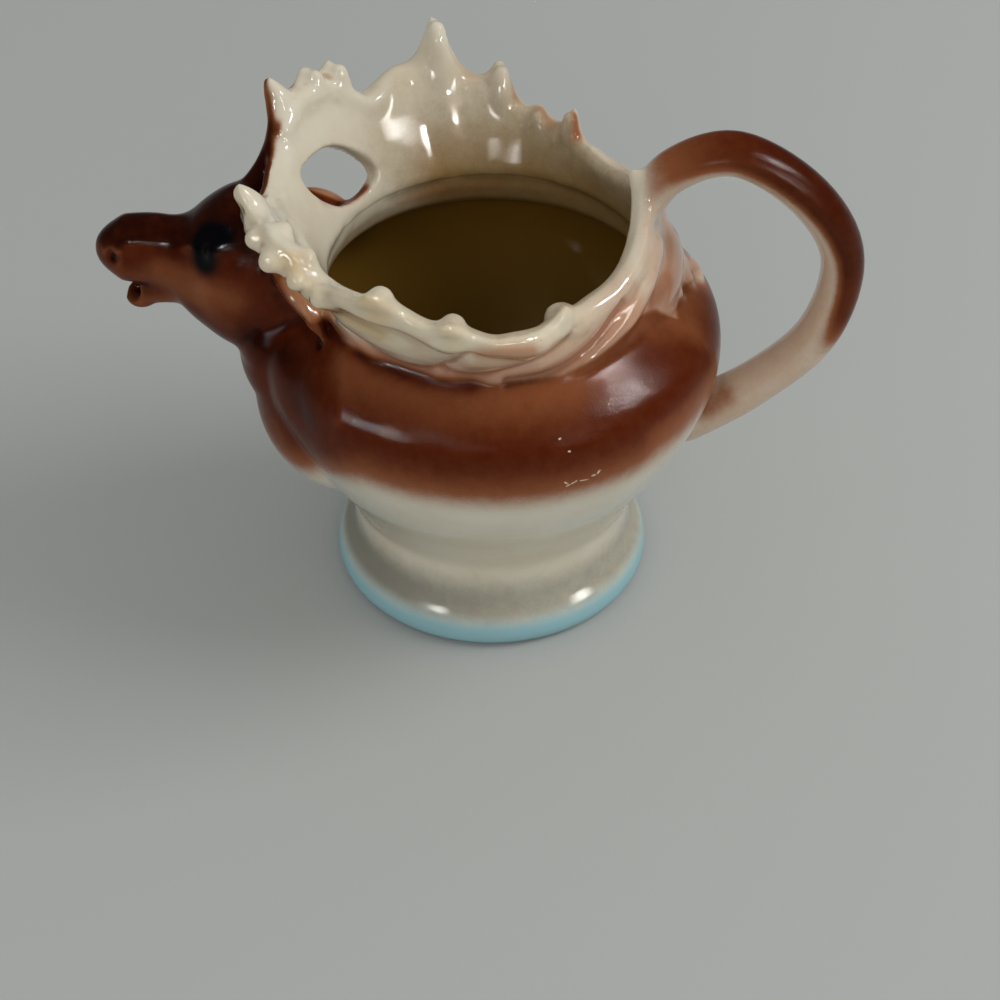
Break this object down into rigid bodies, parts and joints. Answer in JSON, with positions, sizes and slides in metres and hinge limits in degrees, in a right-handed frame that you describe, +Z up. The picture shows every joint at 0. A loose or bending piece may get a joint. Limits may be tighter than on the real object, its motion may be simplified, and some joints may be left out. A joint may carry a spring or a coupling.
{
  "type": "cream jug",
  "caption": "Footed ceramic cream jug shaped as an elk: the open-mouthed head is the spout, palmate antlers form the flared collar, and a ring handle joins the back.",
  "frame": {"origin": "middle of the bounding box on the table plane under the foot", "axes": "+Z up; the elk's head points to -X and the handle to +X; the elk's right antler is at +Y"},
  "size_m": [0.1393, 0.087, 0.0969],
  "materials": {
    "brown_glaze": "airbrushed brown under a clear satin glaze",
    "cream_glaze": "gloss cream glaze with a pink blush",
    "blue_glaze": "gloss white glaze with a pale blue edge"
  },
  "bodies": {
    "root": {"bowl": "brown_glaze", "pedestal_foot": "blue_glaze", "head": "brown_glaze", "left_antler": "cream_glaze", "right_antler": "cream_glaze", "left_ear": "brown_glaze", "right_ear": "brown_glaze", "handle": "brown_glaze"}
  },
  "joints": []
}
